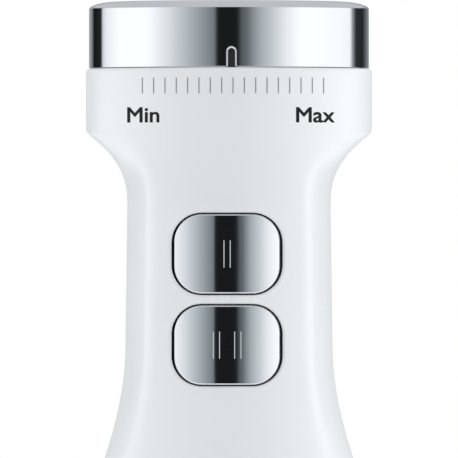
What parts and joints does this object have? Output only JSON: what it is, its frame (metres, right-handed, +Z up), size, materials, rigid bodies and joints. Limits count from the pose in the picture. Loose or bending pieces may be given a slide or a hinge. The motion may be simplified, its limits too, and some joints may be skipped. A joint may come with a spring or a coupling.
{
  "type": "immersion blender",
  "caption": "Upright hand blender with a turning speed dial, push buttons, a detachable shaft and a bladed bell.",
  "frame": {"origin": "centre of the bell's rim, on the plane the blender stands on", "axes": "+Z up the drive axis to the dial, -Y out of the button face, +X to the right of someone facing the buttons"},
  "size_m": [0.0654, 0.0657, 0.3916],
  "materials": {
    "white_housing": "high gloss",
    "chrome_trim": "mirror",
    "black_plastic": "satin",
    "grey_plastic": "satin",
    "black_rubber": "matt",
    "steel_laminations": "stacked sheet",
    "copper": "enamelled wire",
    "brass_strip": "satin",
    "sintered_bronze": "matt",
    "carbon": "matt",
    "circuit_board": "satin",
    "polyester_film": "satin",
    "plain_aluminium": "satin",
    "plain_steel": "satin",
    "stainless_steel": "brushed"
  },
  "bodies": {
    "handle": {"front_housing": "white_housing", "rear_housing": "white_housing", "housing_screw_1": "plain_steel", "housing_screw_2": "plain_steel", "housing_screw_3": "plain_steel", "housing_screw_4": "plain_steel", "coupling_socket": "black_plastic", "latch_clip": "plain_steel", "release_spring_left": "plain_steel", "release_spring_right": "plain_steel", "lower_motor_bracket": "black_plastic", "upper_motor_bracket": "black_plastic", "field_core": "steel_laminations", "field_coil_left": "copper", "field_coil_right": "copper", "brush_holder_left": "brass_strip", "brush_holder_right": "brass_strip", "carbon_brush_left": "carbon", "carbon_brush_right": "carbon", "lower_bearing": "plain_steel", "upper_bearing": "plain_steel", "motor_damper": "black_rubber", "control_board": "circuit_board", "switch_carrier": "black_plastic", "button_bezel": "black_plastic", "microswitch_one": "black_plastic", "microswitch_two": "black_plastic", "button_spring_one": "plain_steel", "button_spring_two": "plain_steel", "dial_seat": "black_plastic", "potentiometer": "circuit_board", "suppression_capacitor": "polyester_film", "triac_heatsink": "plain_aluminium", "cord_gland": "black_rubber"},
    "rotor": {"motor_shaft": "plain_steel", "armature_core": "steel_laminations", "armature_winding": "copper", "commutator": "copper", "cooling_fan": "black_plastic", "motor_coupling": "black_plastic"},
    "dial": {"dial_cover": "chrome_trim", "dial_carrier": "grey_plastic", "potentiometer_shaft": "plain_steel"},
    "button_one": {"button_one": "chrome_trim", "button_one_stem": "black_plastic"},
    "button_two": {"button_two": "chrome_trim", "button_two_stem": "black_plastic"},
    "release_left": {"release_button_left": "grey_plastic"},
    "release_right": {"release_button_right": "grey_plastic"},
    "shaft": {"shaft_collar": "white_housing", "shaft_tube": "stainless_steel", "bell_guard": "stainless_steel", "bearing_carrier": "black_plastic", "upper_bush": "sintered_bronze", "lower_bush": "sintered_bronze", "shaft_seal": "black_rubber"},
    "blade": {"drive_shaft": "plain_steel", "drive_socket": "black_plastic", "blade_hub": "stainless_steel", "blade": "stainless_steel"}
  },
  "joints": [
    {"name": "dial_turn", "type": "hinge", "parent": "handle", "child": "dial", "pos_m": [0, 0, 0.376], "axis": [0, 0, 1], "range_deg": [-38.5, 40]},
    {"name": "button_one_press", "type": "slide", "parent": "handle", "child": "button_one", "axis": [0, 1, 0], "range_m": [0, 0.0018], "stiffness_N_per_m": 300, "springref_m": -0.004, "deforming": ["button_spring_one"]},
    {"name": "button_two_press", "type": "slide", "parent": "handle", "child": "button_two", "axis": [0, 1, 0], "range_m": [0, 0.0018], "stiffness_N_per_m": 300, "springref_m": -0.004, "deforming": ["button_spring_two"]},
    {"name": "release_left_press", "type": "slide", "parent": "handle", "child": "release_left", "axis": [1, 0, 0], "range_m": [0, 0.001], "stiffness_N_per_m": 400, "springref_m": -0.004, "deforming": ["release_spring_left"]},
    {"name": "release_right_press", "type": "slide", "parent": "handle", "child": "release_right", "axis": [-1, 0, 0], "range_m": [0, 0.001], "stiffness_N_per_m": 400, "springref_m": -0.004, "deforming": ["release_spring_right"]},
    {"name": "rotor_spin", "type": "hinge", "parent": "handle", "child": "rotor", "pos_m": [0, 0, 0.24], "axis": [0, 0, 1], "continuous": true},
    {"name": "shaft_pull", "type": "slide", "parent": "handle", "child": "shaft", "axis": [0, 0, -1], "range_m": [0, 0.04], "deforming": ["latch_clip"]},
    {"name": "blade_spin", "type": "hinge", "parent": "shaft", "child": "blade", "pos_m": [0, 0, 0.1], "axis": [0, 0, 1], "continuous": true}
  ],
  "couplings": [
    {"joint": "blade_spin", "follows": "rotor_spin", "ratio": 1}
  ]
}
